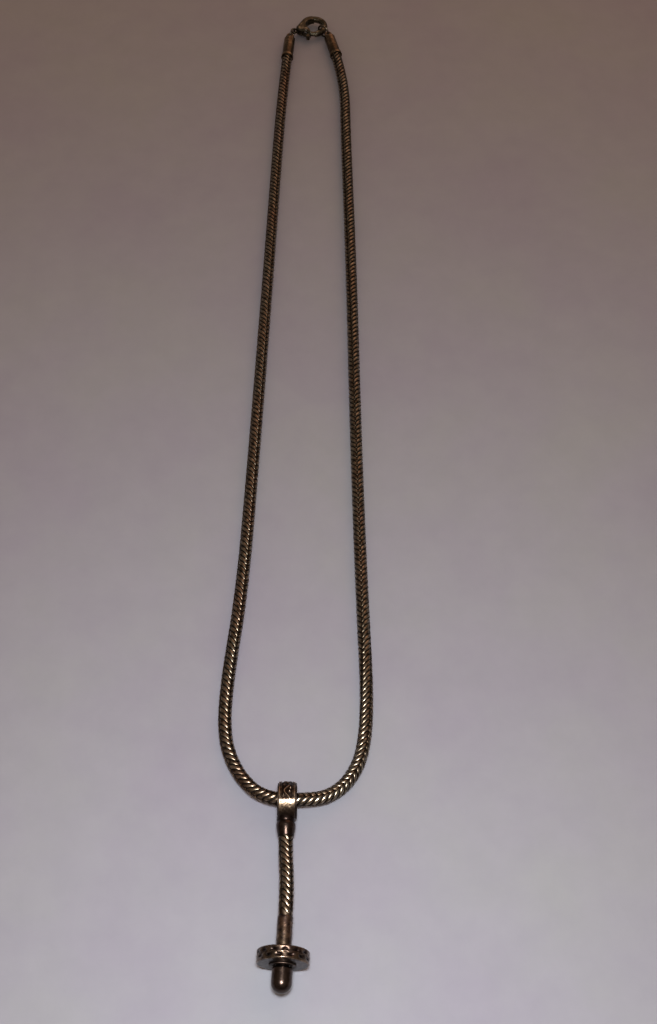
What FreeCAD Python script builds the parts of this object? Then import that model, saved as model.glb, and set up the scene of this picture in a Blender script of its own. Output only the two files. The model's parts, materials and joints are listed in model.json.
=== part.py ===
"""Pendant necklace: snake chain with a lobster clasp, a bail on the chain and a capped drop with a disc bead.

Millimetres. +Z is up from the table, +Y runs from the pendant to the clasp and +X to the right. The necklace lies
on the table, z = 0, and the origin is under the middle of the box from the clasp to the tip of the end cap.
"""

import FreeCAD
import Part
import math
import os

V = FreeCAD.Vector

# ---- driving dimensions ----------------------------------------------------------------------------------------
CHAIN_DIAMETER = 2.9
RUNNING_FIT = 0.05                       # radial and end clearance of the pieces that turn on each other
BEND_SHARE = 0.45                        # how much of the shorter run each bend of a cord takes

# the neck chain: corners of its route from the left end cap round to the right one
CHAIN_ROUTE = [
    (-6.85, 129.60, 1.75), (-8.15, 112.60, 1.75), (-9.30, 88.00, 1.45), (-10.85, 41.00, 1.45),
    (-12.85, -13.00, 1.45), (-14.50, -53.00, 1.45), (-17.10, -75.50, 1.45), (-17.25, -87.50, 1.45),
    (-15.00, -94.60, 1.60), (-11.00, -100.00, 2.20), (-6.60, -102.30, 3.25), (-0.90, -102.50, 3.25),
    (4.50, -101.60, 2.20), (8.90, -98.00, 1.50), (12.00, -91.60, 1.45), (13.00, -79.50, 1.45),
    (12.20, -57.00, 1.45), (11.25, -14.00, 1.45), (10.55, 45.00, 1.45), (9.50, 91.00, 1.45),
    (9.28, 115.30, 1.75), (5.50, 130.35, 1.75),
]

# end caps of the chain
CAP_LENGTH = 8.7
CAP_RADIUS = 1.6
CAP_LIP_RADIUS = 1.75
CAP_LIP_LENGTH = 0.9
CAP_LIP_STEP = 0.15                      # length of the slope behind the lip
CAP_CROWN = 0.7                          # length of the bevel round the closed end
CAP_CROWN_RADIUS = 1.15
CAP_BORE_DEPTH = 6.0
CAP_STEM_RADIUS = 0.5
CAP_EYE_REACH = 9.7                      # from the mouth of the cap to the middle of its eye
EYE_RADIUS = 0.8
EYE_WIRE_RADIUS = 0.3

# lobster clasp: its own frame has the eye at the origin, the hook along +X and the lever on the -Y side
CLASP_HEIGHT = 1.9                       # of its middle plane above the table
CLASP_ANGLE = 18.0                       # from the +X direction of the necklace
HOOK_CENTRE = 5.95
HOOK_RADIUS = 3.25
HOOK_WIRE_RADIUS = 0.9
HOOK_START = -112.0
HOOK_END = 150.0
SHELL_THICKNESS = 2.4                    # of the clasp's body at the lever's pin
SHELL_TAIL = V(1.95, -0.2, 0)            # middle of the body's round tail
SHELL_TAIL_RADIUS = 1.35
SHELL_INSET = 0.3                        # of the body's outline inside the hook's outer edge
SHELL_ROUND = 0.6
SHELL_THIN = 1.62                        # thickness where the body ends on the hook
SHELL_FULL_TO = 3.6                      # the body keeps its thickness up to this X, then thins to the hook's
SHELL_TOP_END = 6.8                      # X where it reaches that thickness
SHELL_LEVER_END = 4.15                   # the two cheeks end here on the lever's side, below this Y
SHELL_LEVER_SIDE = -0.5
LEVER_PIVOT = V(3.1, -1.6, 0)
LEVER_WIRE_RADIUS = 0.68
LEVER_BOSS_RADIUS = 0.95
LEVER_BOSS_TOP = 0.18                    # height of the boss above the middle plane, under the spring
LEVER_REACH = 3.0                        # from the pivot to the lever's tip
LEVER_START = -142.0
LEVER_END = -85.0
LEVER_SLOT = 1.5
LEVER_SLOT_BACK = 1.15                   # the slot starts this far behind the pivot
LEVER_SLOT_DEPTH = 1.2                   # and this far inside it
TAB_RADIUS = 0.55
TAB_OFFSET = V(-0.1, -2.35, 0)           # of the thumb tab from the pivot
TAB_STALK = 0.8
TIP_GAP = 0.1                            # between the lever's tip and the hook's, on the lever's side of this Y
TIP_SIDE = -1.0
RIVET_RADIUS = 0.4
RIVET_HEAD_RADIUS = 0.7
RIVET_HEAD = 0.2
RIVET_BEVEL = 0.15
SPRING_RADIUS = 0.7
SPRING_WIRE_RADIUS = 0.11
SPRING_ROOM = 1.0                        # radius kept free for it above the boss
SPRING_COILS = 2
SPRING_GAP = 0.01                        # between its coils, and twice that above them

CLASP_BLANK = 12.0                       # more than the clasp measures in any direction

# jump rings that join the clasp to the end caps
LINK_WIRE_RADIUS = 0.27
LEFT_LINK_RADIUS = 1.17
LEFT_LINK_HEIGHT = 1.8
LEFT_LINK_DIRECTION = 60.0               # from the eye of the left cap to the eye of the clasp
RIGHT_LINK_RADIUS = 1.75
RIGHT_LINK_HEIGHT = 2.05
HOOK_IN_RING = 0.42                      # the hook's middle is this far off the middle of the right ring

# bail: a decorated band that turns on a flanged liner, round the chain
BAIL_CENTRE = V(-3.62, -103.0, 4.0)
BAIL_RADIUS = 4.0
BAND_BORE_RADIUS = 3.15
BAND_WIDTH = 3.35
LINER_BORE_RADIUS = 2.75
LINER_FLANGE_RADIUS = 3.6
LINER_FLANGE = 0.2
MOUTH_DEPTH = 0.7                        # a liner's bore opens out over this depth at both ends
MOUTH_FLARE = 0.3
EDGE_ROUND = 0.3

# drop: a collar on the bail, a short snake chain, a ferrule with a stud, the disc bead and the end cap
COLLAR_RADIUS = 1.97
COLLAR_TAPER = 1.5
COLLAR_END_RADIUS = 1.6
COLLAR_END = -110.4
COLLAR_X = -3.82
COLLAR_SOCKET = 1.4
COLLAR_ROOT = 2.0                        # from the middle of the bail to the inner end of its blank
DROP_DIAMETER = 2.9
DROP_YAW = 2.37                          # the lower half leans this far towards -X, in degrees
DROP_UPPER_BEND = V(COLLAR_X, -113.5, 4.0)
DROP_LAST_RUN = 6.1
AXLE_START = V(-3.6, -126.6, 5.1)
FERRULE_RADIUS = 1.52
FERRULE_LENGTH = 9.35
STUD_RADIUS = 0.7
STUD_IN_FERRULE = 2.0
STUD_LENGTH = 4.85
BEAD_RADIUS = 5.1
BEAD_START = 6.55
BEAD_THICKNESS = 2.6
BEAD_BORE_RADIUS = 2.1
BEAD_LINER_BORE_RADIUS = 1.58
BEAD_FLANGE_RADIUS = 2.65
BEAD_FLANGE = 0.28
BEAD_EDGE = 0.45
END_CAP_START = 9.4
END_CAP_NECK_RADIUS = 1.35
END_CAP_NECK = 0.3
END_CAP_RADIUS = 2.0
END_CAP_TIP = 14.45
END_CAP_BORE = 3.0

X_AXIS = V(1, 0, 0)
Y_AXIS = V(0, 1, 0)
Z_AXIS = V(0, 0, 1)


# ---- helpers ---------------------------------------------------------------------------------------------------
def heading(degrees):
    """Unit vector in the table's plane at this angle from +X."""
    return V(math.cos(math.radians(degrees)), math.sin(math.radians(degrees)), 0)


def placed(shape, base, direction=Z_AXIS):
    """A copy of a shape made along +Z from the origin, moved to base with its +Z along direction."""
    copy = shape.copy()
    copy.Placement = FreeCAD.Placement(base, FreeCAD.Rotation(Z_AXIS, direction))
    return copy


def turned(profile):
    """Solid of revolution about Z from the (radius, z) corners of its closed half section."""
    corners = [V(r, 0, z) for r, z in profile]
    face = Part.Face(Part.makePolygon(corners + corners[:1]))
    return face.revolve(V(0, 0, 0), Z_AXIS, 360)


def rounded(shape, radius, keep):
    """The shape with the edges that keep() picks rounded off."""
    edges = [edge for edge in shape.Edges if keep(edge)]
    return shape.makeFillet(radius, edges)


def rounded_path(name, corners):
    """Wire of straight runs and tangent arcs through the route's corners, with the arcs' radii printed."""
    points = [V(*corner) for corner in corners]
    edges = []
    radii = []
    last = points[0]
    for before, corner, after in zip(points, points[1:], points[2:]):
        arrive = corner - before
        leave = after - corner
        reach = BEND_SHARE * min(arrive.Length, leave.Length)
        arrive.normalize()
        leave.normalize()
        half_turn = arrive.getAngle(leave) / 2
        radius = reach / math.tan(half_turn)
        inward = leave - arrive
        inward.normalize()
        start = corner - arrive * reach
        middle = corner + inward * (radius / math.cos(half_turn) - radius)
        end = corner + leave * reach
        edges.append(Part.LineSegment(last, start).toShape())
        edges.append(Part.Arc(start, middle, end).toShape())
        radii.append(round(radius, 1))
        last = end
    edges.append(Part.LineSegment(last, points[-1]).toShape())
    print(name, "radii", radii)
    return Part.Wire(edges)


def tube(name, corners, diameter):
    """Round cord along a rounded path, with its volume compared with section times length."""
    path = rounded_path(name, corners)
    start = V(*corners[0])
    direction = V(*corners[1]) - start
    circle = Part.Circle(start, direction, diameter / 2)
    solid = path.makePipeShell([Part.Wire(circle.toShape())], True, False)
    expected = math.pi * diameter ** 2 / 4 * path.Length
    print(name, "length", round(path.Length, 2), "volume ratio", round(solid.Volume / expected, 4))
    return solid


def torus_arc(radius, wire_radius, start, end):
    """Part of a torus about Z between two angles in degrees."""
    arc = Part.makeTorus(radius, wire_radius, V(0, 0, 0), Z_AXIS, -180, 180, end - start)
    arc.rotate(V(0, 0, 0), Z_AXIS, start)
    return arc


def export(shape, node):
    if not shape.isValid():
        raise ValueError(node + " is not valid")
    shape.exportStep("parts/" + node + ".step")


# ---- chain and its end caps ------------------------------------------------------------------------------------
def end_cap_of_chain(eye, outward):
    """Cup glued on the end of the chain: lip at its mouth, bevelled crown, stem and a flat eye."""
    cup = turned([
        (CHAIN_DIAMETER / 2, 0), (CAP_LIP_RADIUS, 0), (CAP_LIP_RADIUS, CAP_LIP_LENGTH),
        (CAP_RADIUS, CAP_LIP_LENGTH + CAP_LIP_STEP), (CAP_RADIUS, CAP_LENGTH - CAP_CROWN),
        (CAP_CROWN_RADIUS, CAP_LENGTH), (CAP_STEM_RADIUS, CAP_LENGTH),
        (CAP_STEM_RADIUS, CAP_EYE_REACH - EYE_RADIUS), (0, CAP_EYE_REACH - EYE_RADIUS),
        (0, CAP_BORE_DEPTH), (CHAIN_DIAMETER / 2, CAP_BORE_DEPTH),
    ])
    mouth = eye - outward * CAP_EYE_REACH
    ring = Part.makeTorus(EYE_RADIUS, EYE_WIRE_RADIUS, eye, Z_AXIS)
    return placed(cup, mouth, outward).fuse(ring).removeSplitter()


def cap_place(inner, outer):
    """Eye and outward direction of the end cap that holds the chain's end."""
    end = V(*inner)
    outward = end - V(*outer)
    outward.normalize()
    return end + outward * (CAP_EYE_REACH - CAP_BORE_DEPTH), outward


# ---- lobster clasp, in its own frame ---------------------------------------------------------------------------
def around_hook(radius, degrees):
    """Point of the clasp at this distance and angle from the middle of its hook."""
    return V(HOOK_CENTRE, 0, 0) + heading(degrees) * radius


def slab(x_start, x_end, y_start, y_end, z_start, z_end):
    """Box between these coordinates."""
    return Part.makeBox(x_end - x_start, y_end - y_start, z_end - z_start, V(x_start, y_start, z_start))


def lever_side(x_start, y_end, height):
    """Everything of the clasp beyond this X and below this Y, height thick about the middle plane."""
    return slab(x_start, CLASP_BLANK, -CLASP_BLANK, y_end, -height / 2, height / 2)


def pin_at_pivot(radius, bottom=-CLASP_BLANK, top=CLASP_BLANK):
    """Upright cylinder round the lever's axis."""
    return Part.makeCylinder(radius, top - bottom, LEVER_PIVOT + V(0, 0, bottom))


def teardrop():
    """Face of the body's outline: the hook's outer circle and the tail's, joined by their common tangents."""
    outer = HOOK_RADIUS + HOOK_WIRE_RADIUS - SHELL_INSET
    hook_middle = V(HOOK_CENTRE, 0, 0)
    span = hook_middle - SHELL_TAIL
    lean = math.degrees(math.atan2(span.y, span.x))
    touch = math.degrees(math.acos((SHELL_TAIL_RADIUS - outer) / span.Length))
    tail_top = SHELL_TAIL + heading(lean + touch) * SHELL_TAIL_RADIUS
    tail_low = SHELL_TAIL + heading(lean - touch) * SHELL_TAIL_RADIUS
    hook_top = around_hook(outer, lean + touch)
    hook_low = around_hook(outer, lean - touch)
    return Part.Face(Part.Wire([
        Part.Arc(tail_low, SHELL_TAIL - heading(lean) * SHELL_TAIL_RADIUS, tail_top).toShape(),
        Part.LineSegment(tail_top, hook_top).toShape(),
        Part.Arc(hook_top, around_hook(outer, lean), hook_low).toShape(),
        Part.LineSegment(hook_low, tail_low).toShape(),
    ]))


def clasp_shell():
    """Thick rear of the body: round-edged teardrop that thins towards the hook, with the hook's hole in it."""
    half = SHELL_THICKNESS / 2
    block = teardrop().extrude(V(0, 0, SHELL_THICKNESS))
    block.translate(V(0, 0, -half))
    block = rounded(block, SHELL_ROUND, lambda e: e.BoundBox.ZLength < 1e-6)
    thin = SHELL_THIN / 2
    side = Part.makePolygon([
        V(0, 0, -half), V(SHELL_FULL_TO, 0, -half), V(SHELL_TOP_END, 0, -thin), V(SHELL_TOP_END, 0, thin),
        V(SHELL_FULL_TO, 0, half), V(0, 0, half), V(0, 0, -half),
    ])
    wedge = Part.Face(side).extrude(V(0, CLASP_BLANK, 0))
    wedge.translate(V(0, -CLASP_BLANK / 2, 0))
    hole = Part.makeCylinder(HOOK_RADIUS - HOOK_WIRE_RADIUS, CLASP_BLANK, V(HOOK_CENTRE, 0, -CLASP_BLANK / 2))
    return block.common(wedge).cut(hole).cut(lever_side(SHELL_LEVER_END, SHELL_LEVER_SIDE, CLASP_BLANK))


def clasp_body():
    """Cast body with two cheeks for the lever, an eye at its tail and the hook round its hole."""
    slot = lever_side(LEVER_PIVOT.x - LEVER_SLOT_BACK, LEVER_PIVOT.y + LEVER_SLOT_DEPTH, LEVER_SLOT)
    hook = torus_arc(HOOK_RADIUS, HOOK_WIRE_RADIUS, HOOK_START, HOOK_END)
    hook.translate(V(HOOK_CENTRE, 0, 0))
    lever_room = pin_at_pivot(LEVER_REACH + TIP_GAP).common(lever_side(0, TIP_SIDE, CLASP_BLANK))
    eye = Part.makeTorus(EYE_RADIUS, EYE_WIRE_RADIUS, V(0, 0, 0), Z_AXIS)
    rivet_hole = pin_at_pivot(RIVET_RADIUS + RUNNING_FIT)
    return clasp_shell().cut(slot).fuse([hook.cut(lever_room), eye]).cut(rivet_hole).removeSplitter()


def clasp_lever():
    """Sprung gate: a boss on the rivet, a thumb tab and an arm that follows the hook's curve."""
    low = -LEVER_WIRE_RADIUS
    boss = pin_at_pivot(LEVER_BOSS_RADIUS, low, LEVER_BOSS_TOP)
    arm = torus_arc(HOOK_RADIUS, LEVER_WIRE_RADIUS, LEVER_START, LEVER_END)
    arm.translate(V(HOOK_CENTRE, 0, 0))
    arm = arm.common(pin_at_pivot(LEVER_REACH))
    tab_middle = LEVER_PIVOT + TAB_OFFSET
    tab = Part.makeCylinder(TAB_RADIUS, 2 * LEVER_WIRE_RADIUS, tab_middle + V(0, 0, low))
    stalk = slab(tab_middle.x - TAB_STALK / 2, tab_middle.x + TAB_STALK / 2, tab_middle.y, LEVER_PIVOT.y,
                 low, LEVER_BOSS_TOP)
    lever = boss.fuse([arm, tab, stalk]).cut(pin_at_pivot(SPRING_ROOM, LEVER_BOSS_TOP))
    return lever.cut(pin_at_pivot(RIVET_RADIUS + RUNNING_FIT)).removeSplitter()


def clasp_rivet():
    """Pin through both cheeks with a low head on each side."""
    half = SHELL_THICKNESS / 2
    face = RIVET_HEAD_RADIUS - RIVET_BEVEL
    pin = turned([
        (0, -half - RIVET_HEAD), (face, -half - RIVET_HEAD), (RIVET_HEAD_RADIUS, -half), (RIVET_RADIUS, -half),
        (RIVET_RADIUS, half), (RIVET_HEAD_RADIUS, half), (face, half + RIVET_HEAD), (0, half + RIVET_HEAD),
    ])
    return placed(pin, LEVER_PIVOT)


def clasp_spring():
    """Closed coils of the lever's return spring, round the rivet above the boss."""
    coils = []
    top = LEVER_SLOT / 2 - SPRING_WIRE_RADIUS - 2 * SPRING_GAP
    for number in range(SPRING_COILS):
        height = top - number * (2 * SPRING_WIRE_RADIUS + SPRING_GAP)
        coils.append(Part.makeTorus(SPRING_RADIUS, SPRING_WIRE_RADIUS, LEVER_PIVOT + V(0, 0, height), Z_AXIS))
    return Part.makeCompound(coils)


def link_ring(centre, along, radius):
    """Jump ring that stands on edge, with along pointing from one eye to the other."""
    return Part.makeTorus(radius, LINK_WIRE_RADIUS, centre, along.cross(Z_AXIS))


# ---- bail ------------------------------------------------------------------------------------------------------
def flanged_liner(bore, outside, flange_radius, flange, gap):
    """Bushing along +Z with a flange at each end, gap between the flanges and flared mouths."""
    half = gap / 2
    end = half + flange
    mouth = bore + min(MOUTH_FLARE, (outside - bore) * 0.9)
    liner = turned([
        (mouth, -end), (flange_radius, -end), (flange_radius, -half), (outside, -half), (outside, half),
        (flange_radius, half), (flange_radius, end), (mouth, end), (bore, end - MOUTH_DEPTH),
        (bore, MOUTH_DEPTH - end),
    ])
    return rounded(liner, flange * 0.45, lambda e: e.BoundBox.ZLength < 1e-6
                   and e.BoundBox.XMax > flange_radius - 0.01)


def bail_liner():
    liner = flanged_liner(LINER_BORE_RADIUS, BAND_BORE_RADIUS - RUNNING_FIT, LINER_FLANGE_RADIUS,
                          LINER_FLANGE, BAND_WIDTH + 2 * RUNNING_FIT)
    return placed(liner, BAIL_CENTRE, X_AXIS)


def bail_band():
    half = BAND_WIDTH / 2
    band = turned([(BAND_BORE_RADIUS, -half), (BAIL_RADIUS, -half), (BAIL_RADIUS, half), (BAND_BORE_RADIUS, half)])
    band = rounded(band, EDGE_ROUND, lambda e: e.BoundBox.ZLength < 1e-6 and e.BoundBox.XMax > BAIL_RADIUS - 0.01)
    return placed(band, BAIL_CENTRE, X_AXIS)


def bail_collar():
    """Turned collar soldered on the band, with a socket for the drop's chain."""
    length = BAIL_CENTRE.y - COLLAR_END
    collar = turned([
        (0, COLLAR_ROOT), (COLLAR_RADIUS, COLLAR_ROOT), (COLLAR_RADIUS, length - COLLAR_TAPER),
        (COLLAR_END_RADIUS, length), (DROP_DIAMETER / 2, length), (DROP_DIAMETER / 2, length - COLLAR_SOCKET),
        (0, length - COLLAR_SOCKET),
    ])
    collar = placed(collar, V(COLLAR_X, BAIL_CENTRE.y, BAIL_CENTRE.z), V(0, -1, 0))
    band = Part.makeCylinder(BAIL_RADIUS, 12, BAIL_CENTRE - V(6, 0, 0), X_AXIS)
    return collar.cut(band)


# ---- drop ------------------------------------------------------------------------------------------------------
AXLE = heading(-90 - DROP_YAW)           # from the ferrule to the tip of the end cap


def drop_chain():
    socket = V(COLLAR_X, COLLAR_END + COLLAR_SOCKET, BAIL_CENTRE.z)
    lower_bend = AXLE_START - AXLE * DROP_LAST_RUN
    return tube("drop_chain", [socket, DROP_UPPER_BEND, lower_bend, AXLE_START], DROP_DIAMETER)


def drop_ferrule():
    """Smooth rod below the drop's chain: the bead's axle, drilled for the stud."""
    floor = FERRULE_LENGTH - STUD_IN_FERRULE
    rod = turned([
        (0, 0), (FERRULE_RADIUS, 0), (FERRULE_RADIUS, FERRULE_LENGTH), (STUD_RADIUS, FERRULE_LENGTH),
        (STUD_RADIUS, floor), (0, floor),
    ])
    return placed(rod, AXLE_START, AXLE)


def threaded_stud():
    stud = Part.makeCylinder(STUD_RADIUS, STUD_LENGTH)
    return placed(stud, AXLE_START + AXLE * (FERRULE_LENGTH - STUD_IN_FERRULE), AXLE)


def bead_middle():
    return AXLE_START + AXLE * (BEAD_START + BEAD_THICKNESS / 2)


def bead_liner():
    liner = flanged_liner(BEAD_LINER_BORE_RADIUS, BEAD_BORE_RADIUS - RUNNING_FIT, BEAD_FLANGE_RADIUS,
                          BEAD_FLANGE, BEAD_THICKNESS + 2 * RUNNING_FIT)
    return placed(liner, bead_middle(), AXLE)


def disc_bead():
    half = BEAD_THICKNESS / 2
    disc = turned([(BEAD_BORE_RADIUS, -half), (BEAD_RADIUS, -half), (BEAD_RADIUS, half), (BEAD_BORE_RADIUS, half)])
    disc = rounded(disc, BEAD_EDGE, lambda e: e.BoundBox.ZLength < 1e-6 and e.BoundBox.XMax > BEAD_RADIUS - 0.01)
    return placed(disc, bead_middle(), AXLE)


def end_cap():
    """Bullet-shaped cap that screws on the stud and keeps the bead on its axle."""
    neck_end = END_CAP_START + END_CAP_NECK
    tip_centre = END_CAP_TIP - END_CAP_RADIUS
    barrel = Part.makeCylinder(END_CAP_RADIUS, tip_centre - neck_end, V(0, 0, neck_end))
    neck = Part.makeCylinder(END_CAP_NECK_RADIUS, END_CAP_NECK, V(0, 0, END_CAP_START))
    tip = Part.makeSphere(END_CAP_RADIUS, V(0, 0, tip_centre), Z_AXIS, 0, 90, 360)
    bore = Part.makeCylinder(STUD_RADIUS + RUNNING_FIT, END_CAP_BORE, V(0, 0, END_CAP_START))
    return placed(barrel.fuse([neck, tip]).cut(bore).removeSplitter(), AXLE_START, AXLE)


# ---- assembly --------------------------------------------------------------------------------------------------
def clasp_parts(place):
    """The clasp's four pieces, moved from its own frame to where it lies."""
    shapes = {}
    for make in (clasp_body, clasp_lever, clasp_rivet, clasp_spring):
        shape = make()
        shape.Placement = place.multiply(shape.Placement)
        shapes[make.__name__] = shape
    return shapes


def main():
    os.makedirs("parts", exist_ok=True)
    left_eye, left_outward = cap_place(CHAIN_ROUTE[0], CHAIN_ROUTE[1])
    right_eye, right_outward = cap_place(CHAIN_ROUTE[-1], CHAIN_ROUTE[-2])
    left_way = heading(LEFT_LINK_DIRECTION)
    clasp_eye = left_eye + left_way * (2 * LEFT_LINK_RADIUS)
    clasp_eye.z = CLASP_HEIGHT
    clasp_place = FreeCAD.Placement(clasp_eye, FreeCAD.Rotation(Z_AXIS, CLASP_ANGLE))
    hook_middle = clasp_place.multVec(V(HOOK_CENTRE, 0, 0))
    right_way = V(right_eye.x - hook_middle.x, right_eye.y - hook_middle.y, 0)
    right_way.normalize()
    hook_point = hook_middle + right_way * HOOK_RADIUS
    left_link_centre = left_eye + left_way * LEFT_LINK_RADIUS
    left_link_centre.z = LEFT_LINK_HEIGHT
    right_link_centre = hook_point + right_way * HOOK_IN_RING
    right_link_centre.z = RIGHT_LINK_HEIGHT
    print("left eye", left_eye, "clasp eye", clasp_eye)
    print("lever pivot", clasp_place.multVec(LEVER_PIVOT), "hook point", hook_point)
    print("right eye", right_eye, "from the right ring's middle", right_eye.distanceToPoint(right_link_centre))

    shapes = {
        "snake_chain": tube("snake_chain", CHAIN_ROUTE, CHAIN_DIAMETER),
        "left_end_cap": end_cap_of_chain(left_eye, left_outward),
        "right_end_cap": end_cap_of_chain(right_eye, right_outward),
        "left_link_ring": link_ring(left_link_centre, left_way, LEFT_LINK_RADIUS),
        "right_link_ring": link_ring(right_link_centre, right_way, RIGHT_LINK_RADIUS),
        "bail_liner": bail_liner(),
        "bail_band": bail_band(),
        "bail_collar": bail_collar(),
        "drop_chain": drop_chain(),
        "drop_ferrule": drop_ferrule(),
        "threaded_stud": threaded_stud(),
        "bead_liner": bead_liner(),
        "disc_bead": disc_bead(),
        "end_cap": end_cap(),
    }
    shapes.update(clasp_parts(clasp_place))
    for node, shape in shapes.items():
        export(shape, node)
    box = Part.makeCompound([shape for node, shape in shapes.items() if node != "snake_chain"]).BoundBox
    print("box without the chain", box)


main()
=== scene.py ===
"""Looks of the pendant necklace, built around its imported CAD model.

All places are in metres, in the CAD part's frame. Names that end in _MM, the sizes of the decorated
rings and the profiles of the turned pieces are in millimetres.
"""

import json
import math

import bpy
import numpy as np
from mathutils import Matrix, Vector


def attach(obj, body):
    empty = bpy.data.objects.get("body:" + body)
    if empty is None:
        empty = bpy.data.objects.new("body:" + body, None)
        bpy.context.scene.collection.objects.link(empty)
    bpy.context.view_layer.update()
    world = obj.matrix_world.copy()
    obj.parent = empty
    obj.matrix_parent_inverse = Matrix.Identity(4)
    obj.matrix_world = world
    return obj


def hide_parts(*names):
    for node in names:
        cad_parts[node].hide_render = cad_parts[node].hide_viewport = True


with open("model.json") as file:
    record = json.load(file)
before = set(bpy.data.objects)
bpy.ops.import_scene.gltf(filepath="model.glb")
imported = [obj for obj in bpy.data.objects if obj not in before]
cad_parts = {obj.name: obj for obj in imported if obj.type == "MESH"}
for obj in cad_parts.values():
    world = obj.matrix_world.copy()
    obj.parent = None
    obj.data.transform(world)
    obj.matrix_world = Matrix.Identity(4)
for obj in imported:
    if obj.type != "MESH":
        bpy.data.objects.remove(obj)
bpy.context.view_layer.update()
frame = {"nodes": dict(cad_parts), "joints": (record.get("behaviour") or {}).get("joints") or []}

MM = 0.001
UP = Vector((0, 0, 1))

# ---- routes and the snake chain ------------------------------------------------------------------
# corners of the neck chain's route and of the drop's, repeated from the CAD part
CHAIN_ROUTE = [
    (-0.00685, 0.12960, 0.00175), (-0.00815, 0.11260, 0.00175), (-0.00930, 0.08800, 0.00145),
    (-0.01085, 0.04100, 0.00145), (-0.01285, -0.01300, 0.00145), (-0.01450, -0.05300, 0.00145),
    (-0.01710, -0.07550, 0.00145), (-0.01725, -0.08750, 0.00145), (-0.01500, -0.09460, 0.00160),
    (-0.01100, -0.10000, 0.00220), (-0.00660, -0.10230, 0.00325), (-0.00090, -0.10250, 0.00325),
    (0.00450, -0.10160, 0.00220), (0.00890, -0.09800, 0.00150), (0.01200, -0.09160, 0.00145),
    (0.01300, -0.07950, 0.00145), (0.01220, -0.05700, 0.00145), (0.01125, -0.01400, 0.00145),
    (0.01055, 0.04500, 0.00145), (0.00950, 0.09100, 0.00145), (0.00928, 0.11530, 0.00175),
    (0.00550, 0.13035, 0.00175),
]
DROP_ROUTE = [
    (-0.00382, -0.10900, 0.00400), (-0.00382, -0.11350, 0.00400), (-0.003348, -0.12050, 0.00510),
    (-0.00360, -0.12660, 0.00510),
]
CHAIN_DIAMETER = 2.9 * MM
DROP_DIAMETER = 2.9 * MM
ROUTE_STEPS = 40                         # parts that a route's line has between two of its corners

# every link is a zigzag strip round the chain, with a fold at each of four lines along it
LINK_PITCH = 1.29 * MM
LINK_WAVE = 0.95 * MM                    # half of the height of the zigzag
LINK_WIDTH = 1.19 * MM
# a link's section: (distance along the chain as a share of its width, share of the chain's radius)
LINK_SECTION = [(-0.50, 0.88), (-0.35, 0.985), (0.00, 1.00), (0.35, 0.985), (0.50, 0.88),
                (0.00, 0.74)]
LINK_WEAR = [0.0, 0.85, 1.0, 0.95, 0.05, 0.0]
LINK_SIZE_CHANGE = 0.006                 # share by which the links' size wanders
LINK_SIZE_WAVE = 2900                    # radians a metre
FACE_ANGLES = [0, 5, 12, 27, 45, 63, 78, 85]
FOLD_DEPTH = 0.07                        # share of the radius
FOLD_WIDTH = 6.0                         # degrees
FOLD_WEAR_LOSS = 0.75
FOLD_WEAR_WIDTH = 7.0                    # degrees
FILLED_LEVEL = 0.97                      # share of the radius that solder fills the links up to
OUTER_LEVEL = 0.8                        # points of the section above this share are on the outside
CORE_SHARE = 0.80                        # radius of the dark core, as a share of the chain's
CORE_SIDES = 8
# how far the folds have turned round the chain, in degrees, at these distances from its start
TWIST_ALONG_MM = [0, 60, 130, 180, 205, 232, 245, 258, 272, 286, 306, 340, 365, 400, 480]
TWIST = [96, 104, 97, 101, 92, 100, 130, 162, 172, 202, 224, 222, 212, 195, 180]
DROP_TWIST_START = 100                   # degrees
DROP_TWIST_RATE = -900                   # degrees a metre
DROP_FILLED = 3.2 * MM                   # length of the drop's lower end that is filled with solder

# ---- places and profiles of the other pieces -----------------------------------------------------
BAIL_CENTRE = Vector((-3.62, -103.0, 4.0)) * MM
COLLAR_START = Vector((-3.82, -103.0, 4.0)) * MM
AXLE_START = Vector((-3.6, -126.6, 5.1)) * MM
AXLE_YAW = math.radians(-90 - 2.37)
AXLE = Vector((math.cos(AXLE_YAW), math.sin(AXLE_YAW), 0))
BEAD_CENTRE = AXLE_START + AXLE * 7.85 * MM

# turned pieces: corners as (radius, distance along the axis, wear)
END_CAP_PROFILE = [
    (0, 5.9, 0.0), (1.45, 5.9, 0.0), (1.45, 0.0, 0.1), (1.75, 0.0, 0.7), (1.75, 0.9, 0.9),
    (1.6, 1.05, 0.3), (1.6, 4.5, 0.7), (1.6, 8.0, 0.8), (1.15, 8.7, 0.9), (0.5, 8.7, 0.2),
    (0.5, 9.2, 0.5), (0, 9.2, 0.5),
]
END_CAP_DEPTH = 6.0 * MM                 # how deep the chain's end sits in it
COLLAR_PROFILE = [
    (0, 3.3, 0.1), (1.9, 3.3, 0.1), (1.9, 4.25, 0.5), (1.78, 4.4, 0.1), (1.88, 4.6, 0.7),
    (1.97, 5.15, 0.8), (1.92, 5.8, 0.8), (1.6, 7.4, 0.6), (1.48, 7.4, 0.2), (1.46, 6.2, 0.0),
    (0, 6.2, 0.0),
]
FERRULE_PROFILE = [
    (0, 0, 0.3), (1.45, 0, 0.4), (1.52, 0.25, 0.9), (1.52, 9.2, 0.9), (1.4, 9.35, 0.8),
    (0.7, 9.35, 0.2), (0.7, 8.2, 0.0), (0, 8.2, 0.0),
]
BULLET_SOCKET = [
    (0.76, 12.3, 0.0), (0.76, 9.4, 0.1), (1.35, 9.4, 0.3), (1.35, 9.68, 0.1), (1.86, 9.7, 0.7),
    (2.0, 9.95, 0.9),
]
BULLET_RADIUS = 2.0
BULLET_TIP_CENTRE = 12.45
STUD_ROOT = [(0, 7.35, 0.2), (0.6, 7.35, 0.2)]
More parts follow.
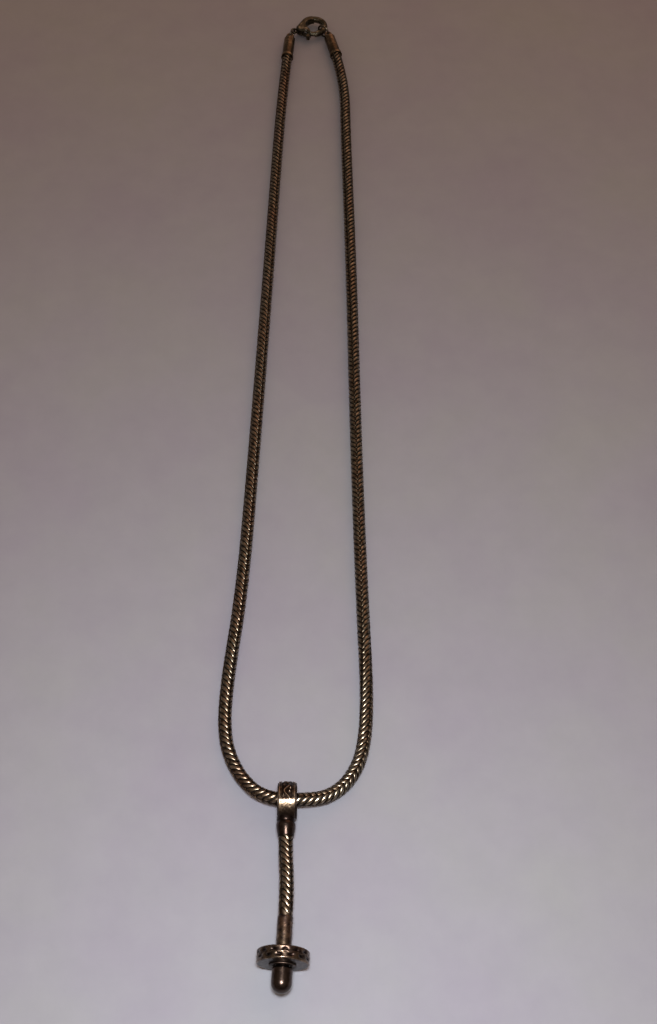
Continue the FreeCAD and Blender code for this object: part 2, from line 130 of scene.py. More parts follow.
STUD_END = [(0.55, 12.15, 0.6), (0, 12.2, 0.6)]
THREAD_TURNS = 18
THREAD_START = 7.55
THREAD_PITCH = 0.25
THREAD_CREST = 0.7
THREAD_GROOVE = 0.61
PROFILE_STEP_MM = 0.25                   # longest part of a profile, so that its tarnish can vary

EYE_RADIUS = 0.8 * MM
EYE_WIRE = 0.3 * MM
EYE_REACH = 9.7 * MM                     # from the cap's mouth to the middle of its eye
RING_WIRE = 0.27 * MM
RING_WAVE = 0.03 * MM                    # half of the sideways step between a jump ring's ends
LEFT_RING_RADIUS = 1.17 * MM
RIGHT_RING_RADIUS = 1.75 * MM
RIGHT_RING_OFFSET = 0.42 * MM            # from the hook's wire to the middle of the ring
RIGHT_RING_HEIGHT = 2.05 * MM
RING_STEPS = 64
WIRE_SIDES = 20

# decorated rings, in millimetres: radii of the bore and outside, width, radius of the edges and
# depth of the relief
BAND_SIZES = {"bore": 3.15, "outside": 4.0, "width": 3.35, "edge": 0.28, "depth": 0.24}
BEAD_SIZES = {"bore": 2.1, "outside": 5.1, "width": 2.6, "edge": 0.42, "depth": 0.3}
MOUTH_BEVEL_MM = 0.1
RIM_ROWS = 44
FACE_ROWS = 7
EDGE_ANGLES = (0.4, 0.8, 1.2)            # radians
WORN_LEVEL = 0.9
VINE_REPEATS = 7
VINE_BERRIES = ((0.25, -0.38), (0.75, 0.38), (0.02, -0.5), (0.52, 0.5))
DRILLED_REPEATS = 14
DRILLED_ROW = 0.52

# ---- stage ---------------------------------------------------------------------------------------
FLOOR_HALF = 2.5
CAMERA_PLACE = (4.7 * MM, -203.8 * MM, 272.8 * MM)
CAMERA_TILT = 32.3                       # degrees up from straight down
CAMERA_LENS = 48.9                       # mm on a 36 mm sensor
FLASH_PLACE = (0.0047, -0.172, 0.275)
FLASH_TARGET = (0.0047, -0.1721, 0)
FLASH_SPREAD = 108                       # degrees


# ---- materials -----------------------------------------------------------------------------------
class Nodes:
    """A small builder for a material's node tree."""

    def __init__(self, name):
        self.material = bpy.data.materials.new(name)
        self.material.use_nodes = True
        self.tree = self.material.node_tree
        self.shader = self.tree.nodes["Principled BSDF"]
        self.place = self.add("TexCoord").outputs["Object"]

    def add(self, kind, **values):
        node = self.tree.nodes.new("ShaderNode" + kind)
        for key, value in values.items():
            setattr(node, key, value)
        return node

    def link(self, source, target):
        self.tree.links.new(source, target)

    def noise(self, scale, detail=4.0, roughness=0.55):
        node = self.add("TexNoise")
        node.inputs["Scale"].default_value = scale
        node.inputs["Detail"].default_value = detail
        node.inputs["Roughness"].default_value = roughness
        self.link(self.place, node.inputs["Vector"])
        return node.outputs["Fac"]

    def ramp(self, factor, stops):
        node = self.add("ValToRGB")
        ramp = node.color_ramp
        while len(ramp.elements) < len(stops):
            ramp.elements.new(0.5)
        for element, (position, colour) in zip(ramp.elements, stops):
            element.position = position
            element.color = (*colour, 1.0)
        self.link(factor, node.inputs["Fac"])
        return node.outputs["Color"]

    def math(self, operation, first, second, clamp=True):
        node = self.add("Math", operation=operation, use_clamp=clamp)
        for socket, value in zip(node.inputs, (first, second)):
            if isinstance(value, float):
                socket.default_value = value
            else:
                self.link(value, socket)
        return node.outputs["Value"]

    def tinted(self, colour, tint):
        """The two colours multiplied."""
        node = self.add("Mix", data_type="RGBA", blend_type="MULTIPLY")
        factor, first, second = node.inputs[0], node.inputs[6], node.inputs[7]
        factor.default_value = 1.0
        self.link(colour, first)
        self.link(tint, second)
        return node.outputs[2]

    def range(self, value, low, high, start=0.0, end=1.0):
        node = self.add("MapRange")
        node.inputs["From Min"].default_value = start
        node.inputs["From Max"].default_value = end
        node.inputs["To Min"].default_value = low
        node.inputs["To Max"].default_value = high
        self.link(value, node.inputs["Value"])
        return node.outputs["Result"]

    def bump(self, height, distance, strength=1.0):
        node = self.add("Bump")
        node.inputs["Strength"].default_value = strength
        node.inputs["Distance"].default_value = distance
        self.link(height, node.inputs["Height"])
        self.link(node.outputs["Normal"], self.shader.inputs["Normal"])


def silver(name, low, middle, high, roughness, wear_and_shade=None, tints=None, dents=0.02 * MM):
    """Tarnished silver: near black in its recesses, bright where it is rubbed, with patches of
    warm tarnish."""
    n = Nodes(name)
    patch = n.noise(75.0, 2.0)
    grain = n.noise(1100.0, 5.0, 0.62)
    fine = n.noise(4200.0, 3.0, 0.6)
    if wear_and_shade:
        height = n.add("Attribute", attribute_name=wear_and_shade).outputs["Fac"]
    else:
        height = n.range(n.noise(420.0, 3.0), 0.25, 1.0, 0.3, 0.7)
    rubbed = n.math("MULTIPLY", height, n.range(grain, 0.35, 1.15, 0.3, 0.68))
    colour = n.ramp(rubbed, [(0.0, low), (0.45, middle), (1.0, high)])
    if tints:
        colour = n.tinted(colour, n.ramp(patch, tints))
    n.link(colour, n.shader.inputs["Base Color"])
    n.shader.inputs["Metallic"].default_value = 1.0
    dull, shiny = roughness
    sheen = n.math("ADD", n.range(rubbed, dull, shiny), n.range(fine, -0.05, 0.09))
    n.link(sheen, n.shader.inputs["Roughness"])
    n.bump(n.math("ADD", grain, n.math("MULTIPLY", fine, 0.25, False), False), dents)
    return n.material


def oxide_and_gap_shade(name):
    """Near-black oxide on the chain's core, partly painted shade of the gaps between links."""
    n = Nodes(name)
    soot = n.noise(1400.0, 4.0)
    colour = n.ramp(soot, [(0.2, (0.010, 0.008, 0.007)), (0.9, (0.05, 0.038, 0.03))])
    n.link(colour, n.shader.inputs["Base Color"])
    n.shader.inputs["Metallic"].default_value = 0.8
    n.link(n.range(soot, 0.45, 0.7), n.shader.inputs["Roughness"])
    return n.material


def floor_paper():
    """Pale paper, a little rosy and uneven."""
    n = Nodes("floor_paper")
    tone = n.noise(22.0, 4.0, 0.6)
    blotch = n.noise(130.0, 5.0, 0.65)
    fibre = n.noise(2600.0, 3.0)
    base = n.ramp(tone, [(0.30, (0.555, 0.520, 0.575)), (0.50, (0.575, 0.560, 0.585)),
                         (0.70, (0.580, 0.580, 0.570))])
    base = n.tinted(base, n.ramp(blotch, [(0.25, (0.93, 0.93, 0.94)), (0.75, (1.0, 1.0, 1.0))]))
    n.link(base, n.shader.inputs["Base Color"])
    n.link(n.range(fibre, 0.75, 0.9), n.shader.inputs["Roughness"])
    n.shader.inputs["Specular IOR Level"].default_value = 0.2
    n.bump(fibre, 0.02 * MM, 0.4)
    return n.material


# ---- mesh helpers --------------------------------------------------------------------------------
def mesh_piece(name, points, faces, materials, wear_and_shade=None):
    mesh = bpy.data.meshes.new(name)
    mesh.from_pydata([tuple(p) for p in points], [], faces)
    if wear_and_shade is not None:
        layer = mesh.attributes.new("wear_and_shade", "FLOAT", "POINT")
        layer.data.foreach_set("value", np.asarray(wear_and_shade, dtype=np.float32))
    for material in materials:
        mesh.materials.append(material)
    mesh.polygons.foreach_set("use_smooth", [True] * len(mesh.polygons))
    mesh.update()
    piece = bpy.data.objects.new(name, mesh)
    bpy.context.collection.objects.link(piece)
    return piece


def grid_faces(rows, columns, wrap_rows=False, start=0):
    """Quads of a grid of points, row by row. Each row is closed on itself, and so are the columns
    with wrap_rows."""
    faces = []
    for row in range(rows if wrap_rows else rows - 1):
        for column in range(columns):
            a = row * columns + column
            b = row * columns + (column + 1) % columns
            c = ((row + 1) % rows) * columns + (column + 1) % columns
            d = ((row + 1) % rows) * columns + column
            faces.append((start + a, start + b, start + c, start + d))
    return faces


def dress(piece, body, node):
    """Hands a piece to its CAD body, in place of a CAD node."""
    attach(piece, body)
    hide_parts(node)


def cross_axes(direction):
    """The direction's unit vector and two across it, the second as near to upright as it can be."""
    ahead = np.array(direction, dtype=float)
    ahead /= np.linalg.norm(ahead)
    side = np.cross(ahead, UP)
    if np.linalg.norm(side) < 1e-6:
        side = np.array((1.0, 0.0, 0.0))
    side /= np.linalg.norm(side)
    return ahead, side, np.cross(side, ahead)


def turned_round(base, direction, radius, distance, angles):
    """Points of a grid of radii in millimetres, a row for each distance and a column for each
    angle from the top."""
    ahead, side, top = cross_axes(direction)
    columns = radius.shape[1]
    return (np.array(base)[None, None, :]
            + ahead * (distance[:, None, None] * MM) * np.ones((1, columns, 1))
            + top * (radius * np.cos(angles)[None, :])[..., None] * MM
            + side * (radius * np.sin(angles)[None, :])[..., None] * MM)


def softened(profile, cut):
    """The profile with each inner corner replaced by a short curve."""
    points = [np.array(p, dtype=float) for p in profile]
    result = [points[0]]
    for before, corner, after in zip(points, points[1:], points[2:]):
        back = np.linalg.norm(before[:2] - corner[:2])
        on = np.linalg.norm(after[:2] - corner[:2])
        start = corner + (before - corner) * min(cut / max(back, 1e-9), 0.45)
        end = corner + (after - corner) * min(cut / max(on, 1e-9), 0.45)
        for t in (0.0, 0.33, 0.67, 1.0):
            result.append(start * (1 - t) ** 2 + corner * 2 * t * (1 - t) + end * t ** 2)
    result.append(points[-1])
    return result


def split_long(profile, longest):
    """The profile with its long straight parts divided."""
    result = [profile[0]]
    for a, b in zip(profile, profile[1:]):
        parts = max(1, int(np.linalg.norm(b[:2] - a[:2]) / longest))
        result.extend(a + (b - a) * (k + 1) / parts for k in range(parts))
    return result


def lathe(name, profile, base, direction, material, cut=0.12, sides=72, relief=None):
    """Turned piece from (radius, distance, wear) corners along direction from base. Each corner is
    rounded by cut."""
    rows = np.array(split_long(softened(profile, cut), PROFILE_STEP_MM))
    angles = np.linspace(0, 2 * math.pi, sides, endpoint=False)
    radius = rows[:, None, 0] * np.ones((1, sides))
    wear_and_shade = rows[:, None, 2] * np.ones((1, sides))
    if relief:
        lower, darker = relief(angles[None, :], rows[:, None, 1])
        radius = radius - lower * (radius > 0.01)
        wear_and_shade = wear_and_shade * (1 - darker)
    place = turned_round(base, direction, radius, rows[:, 1], angles)
    return mesh_piece(name, place.reshape(-1, 3), grid_faces(len(rows), sides), [material],
                      wear_and_shade.ravel())


def ring_mesh(name, centre, normal, radius, wire, material, gap=0.0, gap_at=0.0, wave=0.0):
    """Round wire bent to a ring in the plane across normal, sawn open by gap degrees if asked."""
    ahead, side, top = cross_axes(normal)
    span = math.radians(360 - gap)
    turn = math.radians(gap_at + gap / 2) + np.linspace(0, span, RING_STEPS, endpoint=gap > 0)
    round_wire = np.linspace(0, 2 * math.pi, WIRE_SIDES, endpoint=False)
    out = np.cos(turn)[:, None] * side + np.sin(turn)[:, None] * top
    lift = wave * (np.linspace(-1, 1, RING_STEPS) if gap else np.zeros(RING_STEPS))
    middle = np.array(centre) + out * radius + ahead * lift[:, None]
    place = (middle[:, None, :] + out[:, None, :] * (wire * np.cos(round_wire))[None, :, None]
             + ahead[None, None, :] * (wire * np.sin(round_wire))[None, :, None])
    faces = grid_faces(RING_STEPS, WIRE_SIDES, wrap_rows=not gap)
    if gap:
        faces.append(tuple(range(WIRE_SIDES - 1, -1, -1)))
        faces.append(tuple(range(WIRE_SIDES * (RING_STEPS - 1), WIRE_SIDES * RING_STEPS)))
    wear_and_shade = np.full(RING_STEPS * WIRE_SIDES, 0.8)
    return mesh_piece(name, place.reshape(-1, 3), faces, [material], wear_and_shade)


def joined(name, pieces):
    """One mesh made of several pieces."""
    points = []
    faces = []
    wear_and_shade = []
    for piece in pieces:
        start = len(points)
        points.extend(v.co[:] for v in piece.data.vertices)
        faces.extend(tuple(start + v for v in p.vertices) for p in piece.data.polygons)
        wear_and_shade.extend(value.value for value in piece.data.attributes["wear_and_shade"].data)
    material = pieces[0].data.materials[0]
    for piece in pieces:
        bpy.data.objects.remove(piece)
    return mesh_piece(name, points, faces, [material], wear_and_shade)


class Path:
    """A route's smooth line, with a frame that keeps one side up."""

    def __init__(self, route):
        curve = bpy.data.curves.new("route", "CURVE")
        curve.dimensions = "3D"
        spline = curve.splines.new("NURBS")
        spline.points.add(len(route) - 1)
        for point, corner in zip(spline.points, route):
            point.co = (*corner, 1.0)
        spline.order_u = 3
        spline.use_endpoint_u = True
        curve.resolution_u = ROUTE_STEPS
        carrier = bpy.data.objects.new("route", curve)
        bpy.context.collection.objects.link(carrier)
        bpy.context.view_layer.update()
        evaluated = carrier.evaluated_get(bpy.context.evaluated_depsgraph_get())
        line = bpy.data.meshes.new_from_object(evaluated)
        self.points = np.array([vertex.co[:] for vertex in line.vertices])
        bpy.data.meshes.remove(line)
        bpy.data.objects.remove(carrier)
        bpy.data.curves.remove(curve)
        lengths = np.linalg.norm(np.diff(self.points, axis=0), axis=1)
        self.along = np.concatenate([[0.0], np.cumsum(lengths)])
        self.length = self.along[-1]
        ahead = np.gradient(self.points, self.along, axis=0)
        self.ahead = ahead / np.linalg.norm(ahead, axis=1)[:, None]

    def at(self, along):
        """Points, sides and tops at these distances from the start, straight on past the ends."""
        flat = along.ravel()
        point = np.stack([np.interp(flat, self.along, axis) for axis in self.points.T], axis=1)
        ahead = np.stack([np.interp(flat, self.along, axis) for axis in self.ahead.T], axis=1)
        ahead /= np.linalg.norm(ahead, axis=1)[:, None]
        side = np.cross(ahead, UP)
        side /= np.linalg.norm(side, axis=1)[:, None]
        top = np.cross(side, ahead)
        point = point + ahead * (flat - np.clip(flat, 0.0, self.length))[:, None]
        return [v.reshape(*along.shape, 3) for v in (point, side, top)]

    def around(self, along, reach, angles):
        """Points at this reach from the line, at these angles from its top."""
        point, side, top = self.at(along)
        return (point + top * (reach * np.cos(angles))[..., None]
                + side * (reach * np.sin(angles))[..., None]).reshape(-1, 3)


# ---- snake chain ---------------------------------------------------------------------------------
def chain_links(path, radius, twist, filled):
    """Points, wear and faces of the links. The gaps over the last filled length are closed."""
    count = round(path.length / LINK_PITCH) + 1
    middles = np.linspace(0.0, path.length, count)
    quarter = np.array(FACE_ANGLES, dtype=float)
    face_angles = np.concatenate([quarter + 90 * k for k in range(4)])
    sides = len(face_angles)
    section = np.array(LINK_SECTION)
    angles = np.radians(face_angles[None, :] + twist(middles)[:, None] + 45)
    slant = np.abs((face_angles / 90) % 2 - 1) * 2 - 1
    off_fold = (face_angles + 45) % 90 - 45
    fold = 1 - FOLD_DEPTH * np.exp(-(off_fold / FOLD_WIDTH) ** 2)

    along = middles[:, None, None] + (LINK_WAVE * slant)[None, :, None] + np.zeros(len(section))
    share = np.clip((along - path.length) / max(filled, LINK_WIDTH) + 1, 0, 1) * (filled > 0)
    width = LINK_WIDTH + (LINK_PITCH - LINK_WIDTH) * share
    along = along + width * section[None, None, :, 0]
    depth = np.broadcast_to(section[None, None, :, 1], along.shape).copy()
    depth = depth + (FILLED_LEVEL - depth) * share * (depth > OUTER_LEVEL)
    size = 1 + LINK_SIZE_CHANGE * np.sin(middles * LINK_SIZE_WAVE)[:, None, None]
    reach = radius * np.minimum(depth * fold[None, :, None] * size, 1.0)
    points = path.around(along, reach, angles[..., None])

    at_fold = FOLD_WEAR_LOSS * np.exp(-(off_fold / FOLD_WEAR_WIDTH) ** 2)
    wear_and_shade = np.array(LINK_WEAR)[None, None, :] * (1 - at_fold)[None, :, None]
    wear_and_shade = np.broadcast_to(wear_and_shade, along.shape).reshape(-1)
    ring = grid_faces(sides, len(section), wrap_rows=True)
    block = sides * len(section)
    faces = [tuple(corner + link * block for corner in face)
             for link in range(count) for face in ring]
    return points, wear_and_shade, faces, count


def chain_core(path, radius, rings, start):
    """Points and faces of the dark core, the faces counted from start."""
    along = np.linspace(0, path.length, rings)[:, None] * np.ones((1, CORE_SIDES))
    angles = np.linspace(0, 2 * math.pi, CORE_SIDES, endpoint=False)
    points = path.around(along, radius * CORE_SHARE, angles[None, :])
    faces = grid_faces(rings, CORE_SIDES, start=start)
    end = start + len(points)
    faces.append(tuple(range(start, start + CORE_SIDES)))
    faces.append(tuple(range(end - 1, end - 1 - CORE_SIDES, -1)))
    return points, faces


def snake_chain(name, route, diameter, twist, materials, filled=0.0):
    """Interlocking zigzag links round a dark core, along the route's smooth line, from inside one
    socket to inside the other."""
    path = Path(route)
    radius = diameter / 2
    points, wear_and_shade, faces, count = chain_links(path, radius, twist, filled)
    core, core_faces = chain_core(path, radius, count * 2, len(points))
    piece = mesh_piece(name, np.concatenate([points, core]), faces + core_faces, materials,
                       np.concatenate([wear_and_shade, np.zeros(len(core))]))
    slots = [0] * len(faces) + [1] * len(core_faces)
    piece.data.polygons.foreach_set("material_index", slots)
    return piece, path


def neck_twist(along):
    return np.interp(along, np.array(TWIST_ALONG_MM) * MM, TWIST)


def drop_twist(along):
    return DROP_TWIST_START + DROP_TWIST_RATE * along


# ---- decorated band and bead ---------------------------------------------------------------------
def bump_at(distance, width):
    return np.exp(-(distance / width) ** 2)


def vine_relief(angle, across):
    """Height, 0 to 1, of a winding vine with berries between two rims."""
    phase = (angle * VINE_REPEATS / (2 * math.pi)) % 1.0
    rims = bump_at(np.abs(across) - 0.88, 0.10)
    vine = 0.85 * bump_at(across - 0.38 * np.sin(2 * math.pi * phase), 0.13)
    berries = 0
    for middle, height in VINE_BERRIES:
        around = (phase - middle + 0.5) % 1.0 - 0.5
        berry = 0.95 * bump_at(np.hypot(around * 2.6, (across - height) * 1.1), 0.17)
        berries = np.maximum(berries, berry)
    return np.maximum(np.maximum(0.7 * rims, vine), berries)


def rubbed_and_shaded(degrees):
    """How far the bail's pattern is rubbed away on the side that faces the drop, and the painted
    shade that darkens that side's colour from 32 to 150 degrees from the top, below the flash
    highlight."""
    smooth = 0.85 * np.clip((degrees - 4) / 10, 0, 1) * np.clip((110 - degrees) / 20, 0, 1)
    # painted shade: darkens the band's colour on the side below the flash highlight
    dark = 0.6 * np.clip((degrees - 32) / 25, 0, 1) * np.clip((150 - degrees) / 30, 0, 1)
    return smooth, 1 - dark


def drilled_relief(angle, across):
    """Height, 0 to 1, of a rim with a wavy rib between two rows of drilled dots."""
    phase = (angle * DRILLED_REPEATS / (2 * math.pi)) % 1.0
    rib = 0.9 * bump_at(across - 0.2 * np.sin(2 * math.pi * phase), 0.15)
    hollow = 0
    for row, middle in ((-DRILLED_ROW, 0.75), (DRILLED_ROW, 0.25)):
        around = (phase - middle + 0.5) % 1.0 - 0.5
        hollow = np.maximum(hollow, bump_at(np.hypot(around * 2.0, (across - row) * 1.4), 0.44))
    return np.clip(np.maximum(0.75 - 0.95 * hollow, rib), 0, 1)


def relief_ring(name, base, direction, sizes, relief, material, face_wear, columns, rubbing_and_shade=None):
    """Ring round direction with a relief on its rim, rounded edges and plain sides."""
    bore, outside, edge = sizes["bore"], sizes["outside"], sizes["edge"]
    half = sizes["width"] / 2
    shoulder = outside - edge
    across = np.linspace(-1, 1, RIM_ROWS)
    section = [(bore, -half + MOUTH_BEVEL_MM, 0.3), (bore + MOUTH_BEVEL_MM, -half, face_wear)]
    section += [(r, -half, face_wear) for r in np.linspace(bore + 0.3, shoulder, FACE_ROWS)]
    section += [(shoulder + edge * math.sin(a), -half + edge - edge * math.cos(a), 0.9)
                for a in EDGE_ANGLES]
    rim_start = len(section)
    section += [(outside, x * (half - edge), 0.0) for x in across]
    rim_end = len(section)
    section += [(shoulder + edge * math.sin(a), half - edge + edge * math.cos(a), 0.9)
                for a in reversed(EDGE_ANGLES)]
    section += [(r, half, face_wear) for r in np.linspace(shoulder, bore + 0.3, FACE_ROWS)]
    section += [(bore + MOUTH_BEVEL_MM, half, face_wear), (bore, half - MOUTH_BEVEL_MM, 0.3)]
    section = np.array(section)

    angles = np.linspace(0, 2 * math.pi, columns, endpoint=False)
    radius = section[:, None, 0] * np.ones((1, columns))
    wear_and_shade = section[:, None, 2] * np.ones((1, columns))
    height = relief(angles[None, :], across[:, None])
    bright = np.ones(columns)
    if rubbing_and_shade:
        smooth, bright = rubbing_and_shade(np.degrees(angles))
        height = height + (WORN_LEVEL - height) * smooth[None, :]
    radius[rim_start:rim_end] -= sizes["depth"] * (1 - height)
    wear_and_shade[rim_start:rim_end] = height
    # the angle function's second result is painted shade, multiplied into the colour
    wear_and_shade = wear_and_shade * bright[None, :]
    place = turned_round(base, direction, radius, section[:, 1], angles)
    return mesh_piece(name, place.reshape(-1, 3),
                      grid_faces(len(section), columns, wrap_rows=True), [material], wear_and_shade.ravel())


def worked(angle, distance):
    """Slight hammered unevenness of a hand-finished turned piece, and how it darkens it."""
    dip = 0.012 * (1 + np.sin(3 * angle + 2.1 * distance) * np.cos(2 * angle - 1.3 * distance))
    return dip, 0.15 * (1 + np.sin(5 * angle + 1.7 * distance)) / 2


# ---- castings ------------------------------------------------------------------------------------
def cast_copy(name, node, voxel, material, passes):
    """A CAD node's shape with its edges softened, as a casting has them."""
    source = frame["nodes"][node]
    copy = bpy.data.objects.new(name, source.data.copy())
    copy.matrix_world = source.matrix_world.copy()
    bpy.context.collection.objects.link(copy)
    remesh = copy.modifiers.new("remesh", "REMESH")
    remesh.mode = "VOXEL"
    remesh.voxel_size = voxel
    smooth = copy.modifiers.new("smooth", "SMOOTH")
    smooth.factor = 0.5
    smooth.iterations = passes
    bpy.context.view_layer.update()
    evaluated = copy.evaluated_get(bpy.context.evaluated_depsgraph_get())
    mesh = bpy.data.meshes.new_from_object(evaluated)
    copy.modifiers.clear()
    copy.data = mesh
    mesh.materials.clear()
    mesh.materials.append(material)
    mesh.polygons.foreach_set("use_smooth", [True] * len(mesh.polygons))
    return copy


# ---- floor, lights and camera --------------------------------------------------------------------
def stage():
    half = FLOOR_HALF
    corners = [(-half, -half, 0), (half, -half, 0), (half, half, 0), (-half, half, 0)]
    floor = mesh_piece("floor", corners, [(0, 1, 2, 3)], [floor_paper()])


def lamp(name, size, power, place, target, colour, spread=180):
    light = bpy.data.lights.new(name, "AREA")
    light.shape = "DISK"
    light.size = size
    light.energy = power
    light.spread = math.radians(spread)
    light.color = colour
    carrier = bpy.data.objects.new(name, light)
    carrier.location = place
    aim = Vector(target) - Vector(place)
    carrier.rotation_euler = aim.to_track_quat("-Z", "Y").to_euler()
    carrier.visible_camera = False
    bpy.context.collection.objects.link(carrier)
    return carrier


def lights():
    """A small flash near the camera, a larger one that only reflections show, and a warm room."""
    lamp("flash", 0.045, 0.193, FLASH_PLACE, FLASH_TARGET, (0.82, 0.885, 1.0), FLASH_SPREAD)
    glint = lamp("glint", 0.07, 0.62, FLASH_PLACE, FLASH_TARGET, (1.0, 0.95, 0.91), FLASH_SPREAD)
    glint.visible_diffuse = False
    lamp("room", 1.0, 1.45, (0.36, 0.78, 0.68), (0, 0.03, 0), (1.0, 0.52, 0.32))
    world = bpy.data.worlds.new("room")
    world.use_nodes = True
    shade = world.node_tree.nodes["Background"]
    shade.inputs["Color"].default_value = (1.0, 0.76, 0.62, 1)
    shade.inputs["Strength"].default_value = 0.19
    bpy.context.scene.world = world
    bpy.context.scene.view_settings.view_transform = "Standard"


def camera():
    data = bpy.data.cameras.new("camera")
    data.lens = CAMERA_LENS
    data.sensor_width = 36.0
    data.clip_start = 0.01
    carrier = bpy.data.objects.new("camera", data)
    carrier.location = CAMERA_PLACE
    carrier.rotation_euler = (math.radians(CAMERA_TILT), 0, 0)
    bpy.context.collection.objects.link(carrier)
    bpy.context.scene.camera = carrier


# ---- the silvers ---------------------------------------------------------------------------------
WARM_PATCHES = [(0.30, (0.96, 0.76, 0.64)), (0.45, (1.0, 0.93, 0.82)), (0.58, (0.92, 0.93, 0.84)),
                (0.72, (1.0, 0.88, 0.84))]
DARK_PATCHES = [(0.30, (1.0, 0.72, 0.66)), (0.50, (1.0, 0.90, 0.80)), (0.72, (0.92, 0.86, 0.84))]

link_silver = silver(
    "link_silver_worn", (0.010, 0.007, 0.005), (0.05, 0.036, 0.025), (0.34, 0.30, 0.25),
    (0.38, 0.22), "wear_and_shade", WARM_PATCHES, 0.014 * MM)
# the core's near-black colour is oxide and painted shade of the deep gaps between the links
recess_black = oxide_and_gap_shade("recess_black")
relief_silver = silver(
    "relief_silver", (0.014, 0.010, 0.008), (0.07, 0.055, 0.045), (0.70, 0.59, 0.44),
    (0.45, 0.2), "wear_and_shade", DARK_PATCHES, 0.03 * MM)
turned_silver = silver(
    "turned_silver", (0.012, 0.009, 0.009), (0.034, 0.026, 0.024), (0.11, 0.088, 0.078),
    (0.3, 0.15), "wear_and_shade", DARK_PATCHES)
bead_silver = silver(
    "bead_silver", (0.008, 0.006, 0.006), (0.038, 0.031, 0.028), (0.25, 0.205, 0.155),
    (0.42, 0.17), "wear_and_shade", DARK_PATCHES, 0.03 * MM)
cap_silver = silver(
    "cap_silver_worn", (0.025, 0.017, 0.011), (0.10, 0.070, 0.045), (0.36, 0.27, 0.19),
    (0.36, 0.24), "wear_and_shade", WARM_PATCHES)
cast_silver = silver(
    "cast_silver", (0.02, 0.017, 0.012), (0.08, 0.07, 0.052), (0.34, 0.31, 0.25),
    (0.42, 0.26), None, WARM_PATCHES, 0.03 * MM)
plain_silver = silver(
    "plain_silver", (0.04, 0.034, 0.028), (0.16, 0.14, 0.12), (0.45, 0.41, 0.36),
    (0.4, 0.26), None, WARM_PATCHES)
# painted shade: the liners sit recessed in the bail and between bead and bullet, so they are
# coloured near black
liner_silver = silver(
    "liner_silver", (0.012, 0.010, 0.009), (0.04, 0.032, 0.028), (0.12, 0.10, 0.09),
    (0.5, 0.36), None, DARK_PATCHES)
spring_bright = silver(
    "spring_bright", (0.12, 0.115, 0.11), (0.3, 0.29, 0.28), (0.5, 0.5, 0.5), (0.35, 0.2))

# ---- both chains ---------------------------------------------------------------------------------
neck, neck_path = snake_chain("neck_chain_links", CHAIN_ROUTE, CHAIN_DIAMETER, neck_twist,
                              [link_silver, recess_black])
dress(neck, "chain", "snake_chain")

drop, _ = snake_chain("drop_chain_links", DROP_ROUTE, DROP_DIAMETER, drop_twist,
                      [link_silver, recess_black], filled=DROP_FILLED)
dress(drop, "bail", "drop_chain")

# ---- end caps, jump rings and clasp --------------------------------------------------------------
for label, end, before in (("left", 0, 1), ("right", -1, -2)):
    inner = Vector(CHAIN_ROUTE[end])
    outward = (inner - Vector(CHAIN_ROUTE[before])).normalized()
    mouth = inner - outward * END_CAP_DEPTH
    barrel = lathe("barrel", END_CAP_PROFILE, mouth, outward, cap_silver, relief=worked)
    eye = ring_mesh("eye", mouth + outward * EYE_REACH, UP, EYE_RADIUS, EYE_WIRE, cap_silver)
    cap = joined(label + "_cap", [barrel, eye])
    dress(cap, "chain", label + "_end_cap")

# each jump ring leans about the line from the wire that it hangs on to its own middle
leans = {joint["name"]: joint for joint in frame["joints"]}
left_eye = Vector(leans["left_ring_lean"]["pos_m"])
left_way = Vector(leans["left_ring_lean"]["axis"])
left_ring = ring_mesh("left_ring", left_eye + left_way * LEFT_RING_RADIUS, left_way.cross(UP),
                      LEFT_RING_RADIUS, RING_WIRE, plain_silver, gap=9, gap_at=60, wave=RING_WAVE)
dress(left_ring, "left_ring", "left_link_ring")
hook_point = Vector(leans["right_ring_lean"]["pos_m"])
hook_point.z = RIGHT_RING_HEIGHT
right_way = Vector(leans["right_ring_lean"]["axis"])
right_ring = ring_mesh("right_ring", hook_point + right_way * RIGHT_RING_OFFSET,
                       right_way.cross(UP), RIGHT_RING_RADIUS, RING_WIRE, plain_silver,
                       gap=6, gap_at=110, wave=RING_WAVE)
dress(right_ring, "right_ring", "right_link_ring")

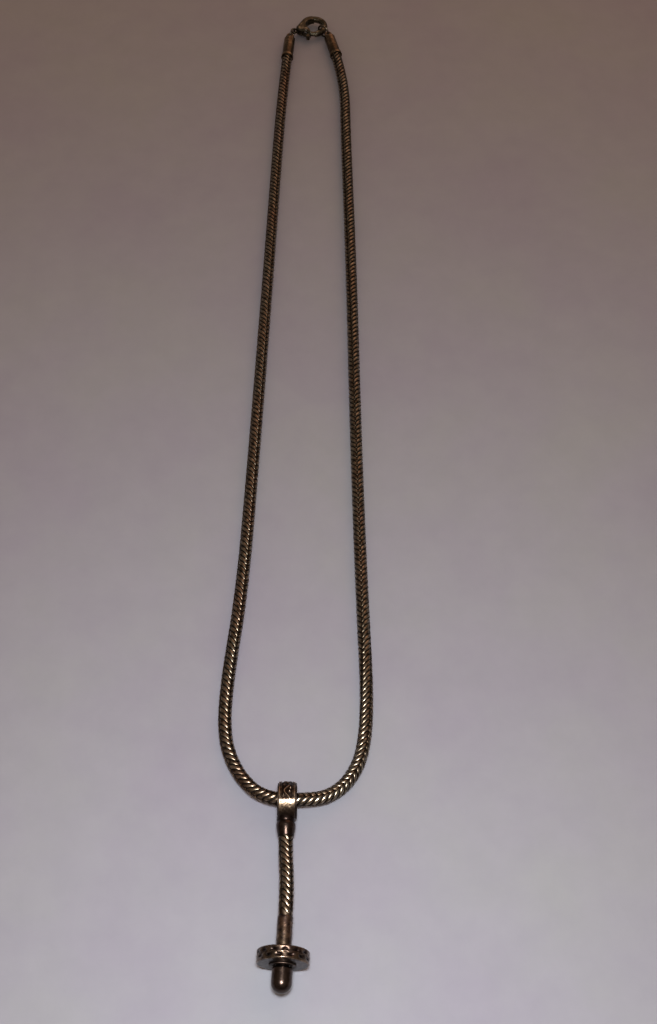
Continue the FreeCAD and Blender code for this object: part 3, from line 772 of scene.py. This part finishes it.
clasp = cast_copy("clasp_cast", "clasp_body", 0.07 * MM, cast_silver, 4)
dress(clasp, "clasp", "clasp_body")
lever = cast_copy("lever_cast", "clasp_lever", 0.05 * MM, cast_silver, 3)
dress(lever, "lever", "clasp_lever")

# ---- bail and drop -------------------------------------------------------------------------------
band = relief_ring("bail_relief", BAIL_CENTRE, (1, 0, 0), BAND_SIZES, vine_relief, relief_silver,
                   face_wear=0.4, columns=360, rubbing_and_shade=rubbed_and_shaded)
dress(band, "bail", "bail_band")
collar = lathe("collar_turned", COLLAR_PROFILE, COLLAR_START, (0, -1, 0), turned_silver, cut=0.16,
               relief=worked)
dress(collar, "bail", "bail_collar")
ferrule = lathe("ferrule_turned", FERRULE_PROFILE, AXLE_START, AXLE, bead_silver, cut=0.1,
                relief=worked)
dress(ferrule, "bail", "drop_ferrule")

thread = list(STUD_ROOT)
for number in range(THREAD_TURNS):
    crest = THREAD_START + THREAD_PITCH * number
    thread += [(THREAD_CREST, crest, 0.9), (THREAD_GROOVE, crest + THREAD_PITCH / 2, 0.2)]
thread += STUD_END
stud = lathe("stud_thread", thread, AXLE_START, AXLE, turned_silver, cut=0.03, sides=40)
dress(stud, "bail", "threaded_stud")

bead = relief_ring("bead_relief", BEAD_CENTRE, AXLE, BEAD_SIZES, drilled_relief, bead_silver,
                   face_wear=0.5, columns=420)
dress(bead, "bead", "disc_bead")

bullet_tip = [(BULLET_RADIUS * math.cos(a), BULLET_TIP_CENTRE + BULLET_RADIUS * math.sin(a), 0.9)
              for a in np.radians(np.arange(0, 91, 10))]
bullet = lathe("bullet_cap", BULLET_SOCKET + bullet_tip, AXLE_START, AXLE, turned_silver, cut=0.08)
dress(bullet, "cap", "end_cap")

# ---- CAD nodes that are shown as they are --------------------------------------------------------
# the liners get liner_silver, whose near-black colour is painted shade of their recesses
for node, material in (("bail_liner", liner_silver), ("bead_liner", liner_silver),
                       ("clasp_rivet", plain_silver), ("clasp_spring", spring_bright)):
    mesh = frame["nodes"][node].data
    mesh.materials.clear()
    mesh.materials.append(material)

stage()
lights()
camera()
